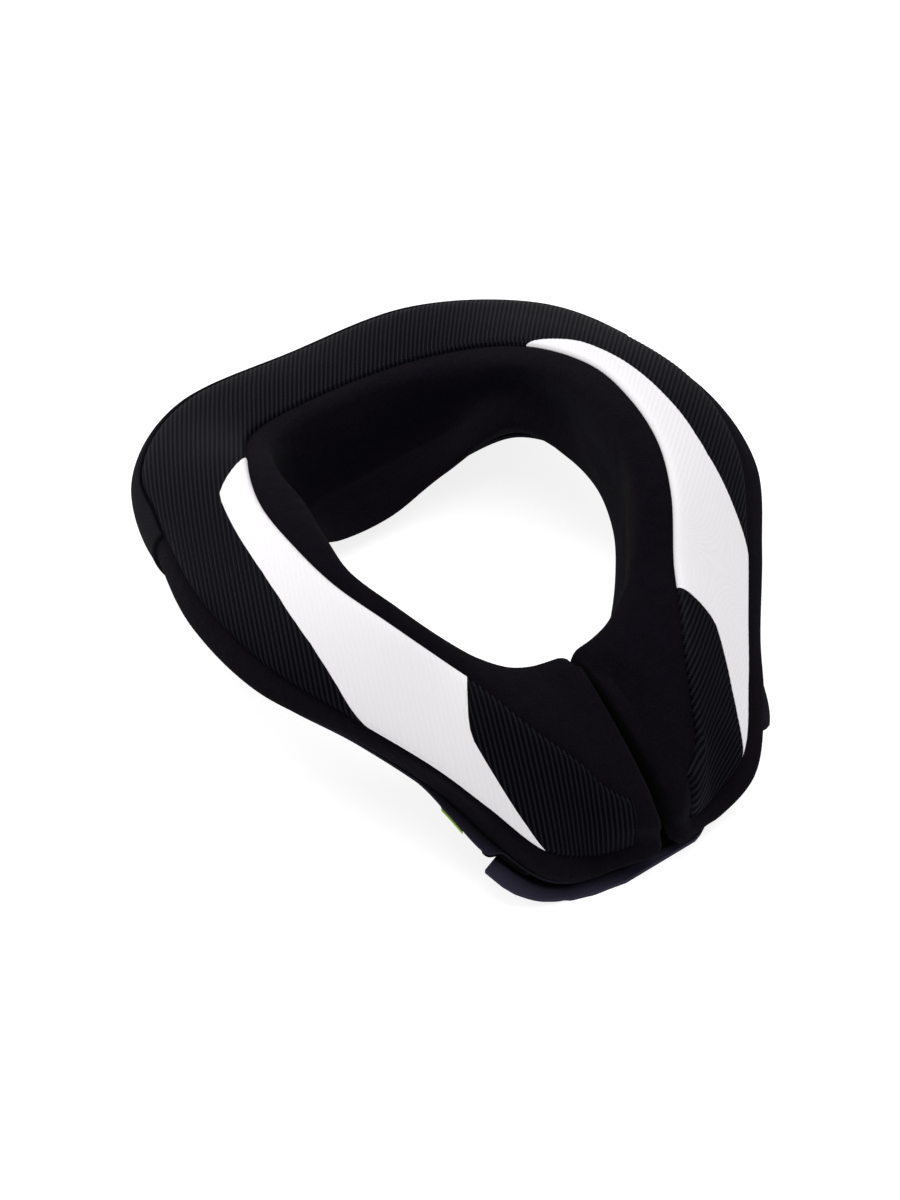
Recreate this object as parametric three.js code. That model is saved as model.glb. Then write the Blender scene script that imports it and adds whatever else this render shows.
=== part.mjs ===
import * as THREE from "three";

// A motocross neck roll: a padded collar with raised shoulders, split at the front and closed by a strap.
// Millimetres, +Z up. The split faces -Y, the back +Y, and the collar lies on the plane z = 0.

// Driving dimensions
const NECK_AXIS_Y = -12.7; // the neck axis stands this far from the middle of the footprint
const SPLIT_WIDTH = { ridge: 2.4, lobe: 7.6 }; // gap between the two lobes, at the neck and further out
const SPLIT_REACH = { ridge: 74, lobe: 115 }; // radii between which the gap widens
const SPLIT_START = 150; // degrees of turn at which the lobes begin to part
const SPLIT_BOW = { size: 14, start: 162, rise: [66, 98], fall: [108, 150] }; // sideways curve of the split
const END_ROUND = 5; // length over which a lobe's end rounds off
const END_FLAT = 0.82; // share of the section left at the end face
const CLOTH_GAP = 0.3; // clearance between one layer and the next
const PANEL_WALL = 1.5;
const FLASH_GAP = 0.6;
const FLASH_WALL = 0.6;
const FLASH_STEPS = 5; // mesh steps across a flash
const BAND_WALL = 1.5;
const BASE_WALL = 1.5;
const TAPE_WALL = 1.2;
const STRAP_WALL = 2.2;
const LABEL_WALL = 1;
const BROW = 3; // rise of the ribbed panel above the straight line between its two seams
const SAG = 6; // bulge of the underside
const STATION_STEP = 16; // length along the collar between two sections of the mesh
const STRAP_STEP = 5; // the same along the strap
const SPAN_STEPS = 3; // mesh steps between two neighbouring points of a section

// One half of the collar, from the middle of the back (turn 0) round to the split (turn 180).
// Each row is a radial section. A pair is the radius from the neck axis and the height:
// hole is the lower inner edge, ridge the upper inner edge, crest the inner seam of the ribbed panel,
// seam its outer seam and foot the lower outer edge. fold is how far the neck wall is pressed in, and
// swell the bulge of the rim below the outer seam.
const SECTIONS = [
  [0, [80, 16], 10, [116, 58], [128, 57], [172, 39], 5, [162, 1]],
  [20, [83, 25], 10, [116, 61], [129, 60], [176, 44], 5, [167, 1]],
  [40, [87, 46], 7, [96, 86], [109, 85], [162, 59], 5, [152, 16]],
  [60, [79, 54], 3, [82, 98], [95, 97], [138, 76], 8, [134, 46]],
  [80, [71, 54], 0, [72, 104], [85, 103], [128, 82], 8, [124, 60]],
  [100, [65, 50], 0, [69, 104], [81, 103], [121, 80], 7.5, [119, 61]],
  [120, [61, 43], 0, [68, 99], [80, 99], [115, 73], 6, [114, 54]],
  [140, [62, 38], 0, [71, 88], [85, 88], [120, 60], 3.5, [119, 40]],
  [150, [64, 36], 0, [74, 82], [94, 83], [129, 48], 4, [129, 27]],
  [160, [66, 34], 0, [76, 77], [108, 74], [140, 30], 5, [139, 11]],
  [168, [67, 33], 0, [77, 74], [122, 61], [139, 18], 5, [138, 4]],
  [172, [68, 33], 0, [78, 73], [132, 51], [141, 19], 5, [138, 7]],
  [180, [69, 33], 0, [79, 72], [144, 39], [150, 25], 5, [144, 11]],
].map(([turn, hole, fold, ridge, crest, seam, swell, foot]) => (
  { turn, hole, fold, ridge, crest, seam, swell, foot }
));
const SPLIT = 180;

// The closed outline of a section, from the lower inner edge up, over the top and back underneath.
const OUTLINE = ["hole", "wall", "ridge", "crest", "brow", "seam", "belly", "foot", "base"];
const AT = Object.fromEntries(OUTLINE.map((name, index) => [name, index]));

// The ribbed panel ends short of the split, and the grey band covers the back of the rim.
const PANEL_END = 174;
const BAND = { end: 59, top: AT.seam + 1 / SPAN_STEPS, foot: AT.foot - 1 / SPAN_STEPS };

// The white flash: at each turn, the shares of the panel's width between which it lies.
const FLASH = [
  { turn: 39.5, inner: 0.03, outer: 0.05 },
  { turn: 42, inner: 0.03, outer: 0.09 },
  { turn: 46, inner: 0.03, outer: 0.18 },
  { turn: 51, inner: 0.03, outer: 0.285 },
  { turn: 56, inner: 0.03, outer: 0.335 },
  { turn: 61, inner: 0.03, outer: 0.35 },
  { turn: 70, inner: 0.03, outer: 0.35 },
  { turn: 82, inner: 0.03, outer: 0.4 },
  { turn: 94, inner: 0.03, outer: 0.485 },
  { turn: 105, inner: 0.03, outer: 0.607 },
  { turn: 113, inner: 0.03, outer: 0.77 },
  { turn: 121, inner: 0.03, outer: 0.96 },
  { turn: 144.8, inner: 0.03, outer: 0.97 },
  { turn: 145.1, inner: 0.1, outer: 0.97 },
  { turn: 145.4, inner: 0.2, outer: 0.97 },
  { turn: 145.7, inner: 0.29, outer: 0.97 },
  { turn: 146.1, inner: 0.37, outer: 0.97 },
  { turn: 147.2, inner: 0.44, outer: 0.97 },
  { turn: 149.5, inner: 0.51, outer: 0.97 },
  { turn: 152, inner: 0.58, outer: 0.97 },
  { turn: 155.4, inner: 0.72, outer: 0.97 },
  { turn: 158, inner: 0.83, outer: 0.97 },
  { turn: 160, inner: 0.94, outer: 0.97 },
];

// The base cloth stands out past the rim as a small wing at each front corner.
const BASE_EDGE = 1;
const BASE_INSET = 0.2; // share of the last span that its inner edge keeps from the neck hole
const WING = { start: 132, tip: 149, end: 153, reach: 8 };

// The closing strap, from under the right lobe past the split to the left one. past is the turn beyond the
// split, negative on the right. reach is how far the front edge stands out past the rim, under how far the
// strap lies below the base cloth, down to the table at most, and droop how much lower its front edge hangs.
const STRAP = [
  { past: -23, reach: -2, under: 0.6, droop: 0 },
  { past: -17, reach: 0, under: 0.6, droop: 0 },
  { past: -12, reach: 0.5, under: 3, droop: 0 },
  { past: -8, reach: 3.5, under: 10, droop: 0 },
  { past: 8, reach: 7.5, under: 10, droop: 0 },
  { past: 12, reach: 7.7, under: 3, droop: 0 },
  { past: 17, reach: 6.5, under: 2.2, droop: 0 },
  { past: 20, reach: 7.5, under: 2.2, droop: 1.5 },
  { past: 23, reach: 8.5, under: 2.2, droop: 3 },
  { past: 26, reach: 11.5, under: 2.2, droop: 3.5 },
  { past: 28, reach: 13, under: 2.2, droop: 3.5 },
  { past: 31, reach: 13, under: 2.2, droop: 3.5 },
];

// Two small pieces lie under the left wing: the hook tape that holds the strap, and a label in the seam.
const TAPE = { start: -157, end: -148.5, beyond: 2 };
const LABEL = { start: -146.5, end: -140.5, beyond: 1.4 };

const BASE_LIFT = BASE_WALL + CLOTH_GAP;
const STRAP_LIFT = BASE_LIFT + STRAP_WALL + CLOTH_GAP;
const LIFT_START = 120;

const DOWN = new THREE.Vector3(0, 0, -1);

const mix = THREE.MathUtils.lerp;
const smooth = (from, to, value) => THREE.MathUtils.smoothstep(value, from, to);
const steps = (count) => Array.from({ length: count + 1 }, (unused, index) => index / count);

// Half of the gap between the lobes at a radius.
function halfGap(radius) {
  const open = smooth(SPLIT_REACH.ridge, SPLIT_REACH.lobe, radius);
  return mix(SPLIT_WIDTH.ridge, SPLIT_WIDTH.lobe, open) / 2;
}

// How far the split curves to the right at a radius.
function splitBow(radius) {
  const [rise, fall] = [SPLIT_BOW.rise, SPLIT_BOW.fall];
  return SPLIT_BOW.size * smooth(rise[0], rise[1], radius) * (1 - smooth(fall[0], fall[1], radius));
}

// A place given by its turn, radius and height. The lobes stand apart by the width of the split.
function place(turn, [radius, height]) {
  const angle = THREE.MathUtils.degToRad(turn);
  const parting = Math.sign(turn) * halfGap(radius) * smooth(SPLIT_START, SPLIT, Math.abs(turn));
  const bow = splitBow(radius) * smooth(SPLIT_BOW.start, SPLIT, Math.abs(turn));
  return new THREE.Vector3(
    radius * Math.sin(angle) + parting + bow,
    radius * Math.cos(angle) + NECK_AXIS_Y,
    height,
  );
}

// The middle between two points of a section, moved outwards, square to the line between them.
function bulge(from, to, amount) {
  const along = new THREE.Vector2(to[0] - from[0], to[1] - from[1]).normalize();
  return [(from[0] + to[0]) / 2 - amount * along.y, (from[1] + to[1]) / 2 + amount * along.x];
}

// The named points of a section, with those that lie between the tabled ones.
function sectionPoints(row) {
  return {
    ...row,
    wall: bulge(row.hole, row.ridge, -row.fold),
    brow: bulge(row.crest, row.seam, BROW),
    belly: bulge(row.seam, row.foot, row.swell),
    base: bulge(row.foot, row.hole, SAG),
  };
}

// Each named point runs round the whole collar as a smooth rail through the rows of both halves.
const mirrored = SECTIONS.slice(1).reverse().map((row) => ({ ...row, turn: -row.turn }));
const ROWS = [...mirrored, ...SECTIONS].map(sectionPoints);
const rails = OUTLINE.map(
  (name) => new THREE.CatmullRomCurve3(ROWS.map((row) => place(row.turn, row[name])), false, "centripetal"),
);

// Share of a rail's length in rows at which a turn lies.
function rowShare(turn) {
  const next = Math.max(1, ROWS.findIndex((row) => row.turn >= turn));
  const [before, after] = [ROWS[next - 1].turn, ROWS[next].turn];
  return (next - 1 + (turn - before) / (after - before)) / (ROWS.length - 1);
}

// The section at a turn: its smooth outline, and the spine that its end draws in to.
function sectionAt(turn) {
  const share = rowShare(turn);
  const points = rails.map((rail) => rail.getPoint(share));
  const inner = points[AT.hole].clone().lerp(points[AT.ridge], 0.5);
  const outer = points[AT.seam].clone().lerp(points[AT.foot], 0.5);
  return {
    outline: new THREE.CatmullRomCurve3(points, true, "centripetal"),
    spine: new THREE.Line3(inner.clone().lerp(outer, 0.25), outer.clone().lerp(inner, 0.15)),
  };
}

// Height that the underside keeps above the table, for the layers below it.
function restHeight(turn) {
  return mix(BASE_LIFT, STRAP_LIFT, smooth(LIFT_START, SPLIT_START, Math.abs(turn)));
}

// A point of the roll's surface, at a turn and a position along the outline.
function surfacePoint(turn, position) {
  const section = sectionAt(turn);
  const point = section.outline.getPoint((position % OUTLINE.length) / OUTLINE.length);
  const radius = Math.hypot(point.x, point.y - NECK_AXIS_Y);
  const fromEnd = Math.abs(point.x - splitBow(radius)) - halfGap(radius);
  if (Math.abs(turn) > SPLIT_START && fromEnd < END_ROUND) {
    const rest = 1 - Math.max(fromEnd, 0) / END_ROUND;
    const size = mix(END_FLAT, 1, Math.sqrt(1 - rest * rest));
    const core = section.spine.closestPointToPoint(point, true, new THREE.Vector3());
    point.lerp(core, 1 - size);
  }
  point.z = Math.max(point.z, restHeight(turn));
  return point;
}

// A surface point with its outward direction, from the slopes along the collar and round the outline.
function spot(turn, position) {
  const [turnStep, outlineStep] = [0.4, 0.03];
  const low = Math.max(turn - turnStep, -SPLIT);
  const high = Math.min(turn + turnStep, SPLIT);
  const along = surfacePoint(high, position).sub(surfacePoint(low, position));
  const round = surfacePoint(turn, position + outlineStep).sub(surfacePoint(turn, position - outlineStep));
  return { point: surfacePoint(turn, position), normal: along.cross(round).normalize() };
}

// Turns from one end to the other, evenly spaced along the outer seam. They take in every row and wing.
function stations(start, end, step = STATION_STEP) {
  const seam = rails[AT.seam];
  const wings = [-WING.end, -WING.tip, WING.tip, WING.end];
  const stops = [...ROWS.map((row) => row.turn), ...wings].filter((turn) => turn > start && turn < end);
  const found = [start];
  for (const stop of [...stops.sort((a, b) => a - b), end]) {
    const from = found.at(-1);
    const length = seam.getPoint(rowShare(from)).distanceTo(seam.getPoint(rowShare(stop)));
    const count = Math.max(1, Math.round(length / step));
    found.push(...steps(count).slice(1).map((share) => mix(from, stop, share)));
  }
  return found;
}

function geometryOf(points, faces) {
  const geometry = new THREE.BufferGeometry();
  geometry.setAttribute("position", new THREE.Float32BufferAttribute(points.flatMap((p) => p.toArray()), 3));
  geometry.setIndex(faces.flat());
  geometry.computeVertexNormals();
  return geometry;
}

// A closed body through rings of points, with a fan over each end.
function loft(rings) {
  const count = rings[0].length;
  const middles = [rings[0], rings.at(-1)].map((ring) =>
    ring.reduce((sum, point) => sum.add(point), new THREE.Vector3()).divideScalar(count),
  );
  const points = [...rings.flat(), ...middles];
  const [firstMiddle, lastMiddle] = [points.length - 2, points.length - 1];
  const index = (ring, step) => ring * count + (step % count);
  const last = rings.length - 1;
  const faces = [];
  for (let step = 0; step < count; step++) {
    for (let ring = 0; ring < last; ring++) {
      const [a, b] = [index(ring, step), index(ring + 1, step)];
      const [d, c] = [index(ring, step + 1), index(ring + 1, step + 1)];
      faces.push([a, b, c], [a, c, d]);
    }
    faces.push([firstMiddle, index(0, step), index(0, step + 1)]);
    faces.push([lastMiddle, index(last, step + 1), index(last, step)]);
  }
  return geometryOf(points, faces);
}

// A closed wall over a grid of spots, between two distances from the surface that they lie on.
function wall(grid, inner, outer) {
  const [rowCount, columnCount] = [grid.length, grid[0].length];
  const layer = (offset) =>
    grid.flat().map(({ point, normal }) => point.clone().addScaledVector(normal, offset));
  const points = [...layer(outer), ...layer(inner)];
  const below = rowCount * columnCount;
  const index = (row, column) => row * columnCount + column;
  const faces = [];
  for (let row = 0; row < rowCount - 1; row++) {
    for (let column = 0; column < columnCount - 1; column++) {
      const [a, b] = [index(row, column), index(row + 1, column)];
      const [d, c] = [index(row, column + 1), index(row + 1, column + 1)];
      faces.push([a, b, c], [a, c, d]);
      faces.push([below + a, below + c, below + b], [below + a, below + d, below + c]);
    }
  }
  const rim = [
    ...grid.map((unused, row) => index(row, 0)),
    ...grid[0].map((unused, column) => index(rowCount - 1, column)).slice(1),
    ...grid.map((unused, row) => index(rowCount - 1 - row, columnCount - 1)).slice(1),
    ...grid[0].map((unused, column) => index(0, columnCount - 1 - column)).slice(1, -1),
  ];
  rim.forEach((from, step) => {
    const to = rim[(step + 1) % rim.length];
    faces.push([from, below + from, below + to], [from, below + to, to]);
  });
  return geometryOf(points, faces);
}

// Value of a table's column between its rows.
function tableValue(table, key, column, at) {
  const next = Math.max(1, table.findIndex((row) => row[key] >= at));
  const [before, after] = [table[next - 1], table[next]];
  return mix(before[column], after[column], (at - before[key]) / (after[key] - before[key]));
}

// The fleece roll, the whole padded body
function fleeceRoll() {
  const positions = steps(OUTLINE.length * SPAN_STEPS).slice(0, -1).map((share) => share * OUTLINE.length);
  const endStations = [0.15, 0.4, 0.7].map((share) => mix(SPLIT, PANEL_END, share));
  const turns = [
    -SPLIT,
    ...endStations.map((turn) => -turn),
    ...stations(-PANEL_END, PANEL_END),
    ...endStations.reverse(),
    SPLIT,
  ];
  return loft(turns.map((turn) => positions.map((position) => surfacePoint(turn, position))));
}

// The ribbed panel over the top, between its two seams
function ribbedPanel() {
  const positions = steps(2 * SPAN_STEPS).map((share) => mix(AT.crest, AT.seam, share));
  const grid = stations(-PANEL_END, PANEL_END).map((turn) => positions.map((at) => spot(turn, at)));
  return wall(grid, CLOTH_GAP, CLOTH_GAP + PANEL_WALL);
}

// A white flash, printed on the panel's side
function whiteFlash(side) {
  const lower = CLOTH_GAP + PANEL_WALL + FLASH_GAP;
  const [first, last] = [FLASH[0].turn, FLASH.at(-1).turn];
  const between = stations(-PANEL_END, PANEL_END).filter((turn) => turn > first && turn < last);
  const turns = new Set([...FLASH.map((row) => row.turn), ...between]);
  const ordered = [...turns].sort((a, b) => side * (a - b));
  const grid = ordered.map((turn) => {
    const inner = tableValue(FLASH, "turn", "inner", turn);
    const outer = tableValue(FLASH, "turn", "outer", turn);
    return steps(FLASH_STEPS).map((share) =>
      spot(side * turn, mix(AT.crest, AT.seam, mix(inner, outer, share))),
    );
  });
  return wall(grid, lower, lower + FLASH_WALL);
}

// The grey band round the back of the rim
function backBand() {
  const count = Math.round((BAND.foot - BAND.top) * SPAN_STEPS);
  const positions = steps(count).map((share) => mix(BAND.top, BAND.foot, share));
  const grid = stations(-BAND.end, BAND.end).map((turn) => positions.map((at) => spot(turn, at)));
  return wall(grid, CLOTH_GAP, CLOTH_GAP + BAND_WALL);
}

// A point that stands out from the rim's foot, level with it
function pastFoot(turn, reach) {
  const foot = surfacePoint(turn, AT.foot);
  const outward = new THREE.Vector3(foot.x, foot.y - NECK_AXIS_Y, 0).normalize();
  return { point: foot.addScaledVector(outward, reach), normal: DOWN.clone() };
}

// How far the base cloth stands out past the rim's foot at a turn, with its wing
function baseReach(turn) {
  const size = Math.abs(turn);
  const wing = size < WING.tip ? smooth(WING.start, WING.tip, size) : 1 - smooth(WING.tip, WING.end, size);
  return BASE_EDGE + WING.reach * wing;
}

// The base cloth of the underside, with its two wings
function basePanel() {
  const last = OUTLINE.length - BASE_INSET;
  const positions = steps(2 * SPAN_STEPS).map((share) => mix(AT.foot, OUTLINE.length, share));
  positions[positions.length - 1] = last;
  const turns = stations(-PANEL_END, PANEL_END);
  const grid = turns.map((turn) => [
    pastFoot(turn, baseReach(turn)),
    ...positions.map((at) => spot(turn, at)),
  ]);
  return wall(grid, CLOTH_GAP, CLOTH_GAP + BASE_WALL);
}

// One row across the closing strap: its front edge and two places under the lobe
function strapRow(turn) {
  const past = turn - Math.sign(turn) * SPLIT;
  const drop = BASE_LIFT + tableValue(STRAP, "past", "under", past);
  const droop = tableValue(STRAP, "past", "droop", past);
  const row = [
    pastFoot(turn, tableValue(STRAP, "past", "reach", past)),
    spot(turn, AT.foot + 1 / SPAN_STEPS),
    spot(turn, AT.foot + 2 / SPAN_STEPS),
  ];
  row[0].point.z -= droop;
  for (const { point, normal } of row) {
    point.addScaledVector(normal, drop);
    if (point.z < STRAP_WALL) {
      point.z = STRAP_WALL;
      normal.copy(DOWN);
    }
  }
  return row;
}

// The closing strap, straight across the split
function closureStrap() {
  const right = stations(SPLIT + STRAP[0].past, PANEL_END, STRAP_STEP);
  const left = stations(-PANEL_END, STRAP.at(-1).past - SPLIT, STRAP_STEP);
  return wall([...right, ...left].map(strapRow), 0, STRAP_WALL);
}

// A flat tab under the base cloth, which shows a little beyond its edge
function underTab({ start, end, beyond }, thickness) {
  const lower = BASE_LIFT + CLOTH_GAP;
  const grid = stations(start, end).map((turn) => [
    pastFoot(turn, baseReach(turn) + beyond),
    pastFoot(turn, baseReach(turn)),
    spot(turn, AT.foot),
    spot(turn, AT.foot + 1 / SPAN_STEPS),
  ]);
  return wall(grid, lower, lower + thickness);
}

const group = new THREE.Group();
group.name = "motocross_neck_roll";

function addPiece(name, geometry, colour, roughness) {
  const material = new THREE.MeshStandardMaterial({ color: colour, roughness, metalness: 0 });
  const mesh = new THREE.Mesh(geometry, material);
  mesh.name = name;
  group.add(mesh);
}

addPiece("fleece_roll", fleeceRoll(), 0x1b181b, 0.95);
addPiece("ribbed_panel", ribbedPanel(), 0x17181f, 0.6);
addPiece("white_flash_left", whiteFlash(-1), 0xebe7ec, 0.55);
addPiece("white_flash_right", whiteFlash(1), 0xebe7ec, 0.55);
addPiece("back_band", backBand(), 0x3a393f, 0.8);
addPiece("base_panel", basePanel(), 0x1a1d2a, 0.75);
addPiece("closure_strap", closureStrap(), 0x23263a, 0.6);
addPiece("hook_tape", underTab(TAPE, TAPE_WALL), 0x2b2c33, 0.9);
addPiece("side_label", underTab(LABEL, LABEL_WALL), 0xb8d400, 0.7);

export default group;
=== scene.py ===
import math

import bpy
import numpy as np
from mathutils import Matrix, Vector


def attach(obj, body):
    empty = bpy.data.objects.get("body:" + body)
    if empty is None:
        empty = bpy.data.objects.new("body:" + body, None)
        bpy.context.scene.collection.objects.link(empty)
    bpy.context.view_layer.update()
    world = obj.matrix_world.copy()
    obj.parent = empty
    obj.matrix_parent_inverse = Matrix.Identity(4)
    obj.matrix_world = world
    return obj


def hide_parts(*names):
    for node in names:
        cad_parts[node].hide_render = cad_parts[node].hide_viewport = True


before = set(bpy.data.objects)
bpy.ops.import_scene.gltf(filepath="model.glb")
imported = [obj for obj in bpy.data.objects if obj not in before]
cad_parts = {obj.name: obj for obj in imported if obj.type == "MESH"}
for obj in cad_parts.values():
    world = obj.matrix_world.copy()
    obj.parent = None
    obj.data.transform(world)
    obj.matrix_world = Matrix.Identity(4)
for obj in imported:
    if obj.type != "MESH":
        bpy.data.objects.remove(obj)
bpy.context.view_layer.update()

mm = 0.001
print("frame loaded:", len(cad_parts), "nodes")

# Camera, at the photograph's angle
view = {
    "azimuth": -31.0,     # degrees round from the front
    "elevation": 48.0,
    "distance": 1.8,
    "target": (0.0, 0.0153, 0.007),
    "lens": 120.0,
    "sensor": 36.0,       # along the long side of the 900 x 1200 picture
}


def makeCamera():
    a, e = math.radians(view["azimuth"]), math.radians(view["elevation"])
    back = Vector((math.sin(a) * math.cos(e), -math.cos(a) * math.cos(e), math.sin(e)))
    data = bpy.data.cameras.new("camera")
    data.lens, data.sensor_width = view["lens"], view["sensor"]
    camera = bpy.data.objects.new("camera", data)
    camera.location = Vector(view["target"]) + back * view["distance"]
    camera.rotation_euler = (-back).to_track_quat("-Z", "Y").to_euler()
    bpy.context.scene.collection.objects.link(camera)
    bpy.context.scene.camera = camera


makeCamera()
print("camera set")

# The collar's form, in millimetres, close to the construction's and a little less even. Turn 0 is the middle
# of the back, 180 the split.
collar = {
    "neckAxisY": -12.7,
    "splitWidth": (2.4, 7.6),      # at the neck and further out
    "splitReach": (74.0, 115.0),
    "splitStart": 150.0,
    "bow": (-5.0, 14.0, 3.2),      # sideways curve of the split: at the neck, midway and at the rim
    "bowStart": 162.0,
    "bowRise": (65.0, 102.0),
    "bowFall": (108.0, 146.0),
    "endRound": 5.0,
    "endFlat": 0.82,
    "spine": (0.25, 0.15),         # where the spine begins and ends, as shares of the section's width
    "slopeSteps": (0.4, 0.03),     # turn and outline position over which slopes are taken
    "brow": 3.0,
    "sag": 6.0,
    "lift": (1.8, 4.3),            # height of the underside over the table, at the back and at the front
    "liftTurns": (120.0, 150.0),
    "panelEnd": 176.0,
    "baseEnd": 174.0,
    "bandEnd": 59.0,
    # turn, hole r z, fold, ridge r z, crest r z, seam r z, swell, foot r z
    "sections": (
        (0, 80, 16, 10, 116, 58, 128, 57, 172, 39, 5, 162, 1),
        (20, 83, 25, 10, 116, 61, 129, 60, 176, 44, 5, 167, 1),
        (40, 87, 46, 7, 96, 86, 109, 85, 162, 59, 5, 152, 16),
        (60, 79, 54, 3, 82, 98, 95, 97, 138, 76, 8, 134, 46),
        (80, 71, 54, 0, 72, 104, 85, 103, 128, 82, 8, 124, 60),
        (100, 65, 50, 0, 69, 104, 81, 103, 121, 80, 7.5, 119, 61),
        (120, 61, 43, 0, 68, 99, 80, 99, 115, 73, 6, 114, 54),
        (140, 62, 38, 0, 71, 88, 85, 88, 120, 60, 3.5, 119, 40),
        (150, 64, 36, 0, 74, 82, 94, 83, 129, 48, 4, 129, 27),
        (160, 66, 34, 0, 76, 77, 108, 74, 140, 30, 5, 139, 11),
        (168, 66, 33, 0, 75.5, 74, 122, 61, 139, 18, 5, 138, 4),
        (172, 66, 33, 0, 75, 73, 132, 51, 141, 19, 5, 138, 7),
        (180, 66, 33, 0, 75, 72, 143.5, 39, 147.5, 26, 5, 142, 10),
    ),
    # how the soft collar lies a little unevenly: turn, sideways shift of lip, crest, seam, belly and foot,
    # and rise of the lower inner edge
    "uneven": (
        (-180, 0, 0, 0, 0, 0, 0), (-172, -3, 0, 0, 0, 0, 0), (-168, -4, 0, 0, 0, 0, 0),
        (-160, -4.5, -0.5, -0.5, 0, 0, 0), (-150, -4.5, -1, -1, 1.5, 0, 0),
        (-140, -4.5, -1.7, -1, 3.5, 1.5, 0), (-120, -5, -2, -1, 3.5, 3, 0),
        (-100, -5, -1.8, 0, 0.5, 0, 0), (-80, -1, -1.6, 0, 0.5, 0, 0), (-60, 4, -0.8, 0.5, 3, 2, 0),
        (-40, 0, 0, 0, 0, 0, -3), (-20, 0, 0, 0, 0, 0, -9), (0, 0, 0, 0, 0, 0, -1.5),
        (20, 0, 0, 0, 0, 0, 6), (40, 0, 1.2, 0, 0, 0, 9), (60, -1, 2, 0, 0, 0, 0),
        (80, -1.6, 0.8, 0, 2, 0, 0), (100, -2, 0.6, 0, 2.5, 0, 0), (120, -2, 1, -0.3, 1.5, 0, 0),
        (140, -3, 1, 0.2, 4, 0, 0), (150, -5, 0.8, 0.4, 5, 0, 0), (160, -6, 0, 1, 4, 0, 0),
        (168, -5.5, 0, 0.5, 1.5, 0, 0), (172, -4, 0, 0, 0, 0, 0), (180, 0, 0, 0, 0, 0, 0),
    ),
}
# places along a section's outline, counted from the lower inner edge
hole, wallMid, ridge, crest, brow, seam, belly, foot, base, outlineCount = range(10)


def smoothStep(start, end, value):
    t = np.clip((value - start) / (end - start), 0, 1)
    return t * t * (3 - 2 * t)


def mix(a, b, share):
    return a + (b - a) * share


def halfGap(radius):
    return mix(*collar["splitWidth"], smoothStep(*collar["splitReach"], radius)) / 2


def splitBow(radius):
    neck, middle, rim = collar["bow"]
    rising = mix(neck, middle, smoothStep(*collar["bowRise"], radius))
    return mix(rising, rim, smoothStep(*collar["bowFall"], radius))


# Places from turn, radius and height: round the neck axis, with the two lobes parted at the curved split
def placeAt(turn, radius, height):
    angle, size = np.radians(turn), np.abs(turn)
    aside = np.sign(turn) * halfGap(radius) * smoothStep(collar["splitStart"], 180, size)
    aside = aside + splitBow(radius) * smoothStep(collar["bowStart"], 180, size)
    x, y = radius * np.sin(angle) + aside, radius * np.cos(angle) + collar["neckAxisY"]
    return np.stack([x, y, height], -1)


# The middle of a to b in the section's plane, moved square to the line between them
def bulge(a, b, amount):
    along = (b - a) / np.linalg.norm(b - a, axis=-1, keepdims=True)
    return (a + b) / 2 + np.stack([-along[:, 1] * amount, along[:, 0] * amount], -1)


def makeRails():
    table = np.array(collar["sections"], float)
    turn, fold, swell = table[:, 0], table[:, 3], table[:, 10]
    holeAt, ridgeAt, crestAt, seamAt, footAt = (table[:, i:i + 2] for i in (1, 4, 6, 8, 11))
    outline = np.stack([
        holeAt, bulge(holeAt, ridgeAt, -fold), ridgeAt, crestAt, bulge(crestAt, seamAt, collar["brow"]),
        seamAt, bulge(seamAt, footAt, swell), footAt, bulge(footAt, holeAt, collar["sag"]),
    ], 1)
    turns = np.concatenate([-turn[:0:-1], turn])
    outline = np.concatenate([outline[:0:-1], outline])
    points = placeAt(turns[:, None], outline[..., 0], outline[..., 1])
    uneven = np.array(collar["uneven"], float)
    lip, *shifts, rise = (np.interp(turns, uneven[:, 0], column) for column in uneven.T[1:])
    points[:, hole:crest, 0] += lip[:, None]
    for place, shift in zip((crest, seam, belly, foot), shifts):
        points[:, place, 0] += shift
    points[:, brow, 0] += (shifts[0] + shifts[1]) / 2
    points[:, hole, 2] += rise
    points[:, wallMid, 2] += rise / 2
    first, last = 2 * points[0] - points[1], 2 * points[-1] - points[-2]
    return turns, np.concatenate([first[None], points, last[None]])


rowTurns, railPoints = makeRails()


# A cubic from b to c, share w, with tangents from the neighbours a and d and knots spaced by the root of
# each chord
def throughPoints(a, b, c, d, w):
    chords = ((a, b), (b, c), (c, d))
    gaps = [np.maximum(np.sum((p - q) ** 2, -1, keepdims=True) ** 0.25, 1e-4) for p, q in chords]
    leave = ((b - a) / gaps[0] - (c - a) / (gaps[0] + gaps[1]) + (c - b) / gaps[1]) * gaps[1]
    arrive = ((c - b) / gaps[1] - (d - b) / (gaps[1] + gaps[2]) + (d - c) / gaps[2]) * gaps[1]
    w = w[..., None]
    square, cube = 3 * (c - b) - 2 * leave - arrive, 2 * (b - c) + leave + arrive
    return b + leave * w + square * w ** 2 + cube * w ** 3


def sectionsAt(turn):
    at = np.interp(turn, rowTurns, np.arange(len(rowTurns)))
    i = np.clip(np.floor(at).astype(int), 0, len(rowTurns) - 2)
    share = np.broadcast_to((at - i)[:, None], (len(turn), outlineCount))
    return throughPoints(*(railPoints[i + k] for k in range(4)), share)


def closestOnLine(point, start, end):
    along = end - start
    share = np.sum((point - start) * along, -1, keepdims=True) / np.sum(along ** 2, -1, keepdims=True)
    return start + np.clip(share, 0, 1) * along


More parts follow.
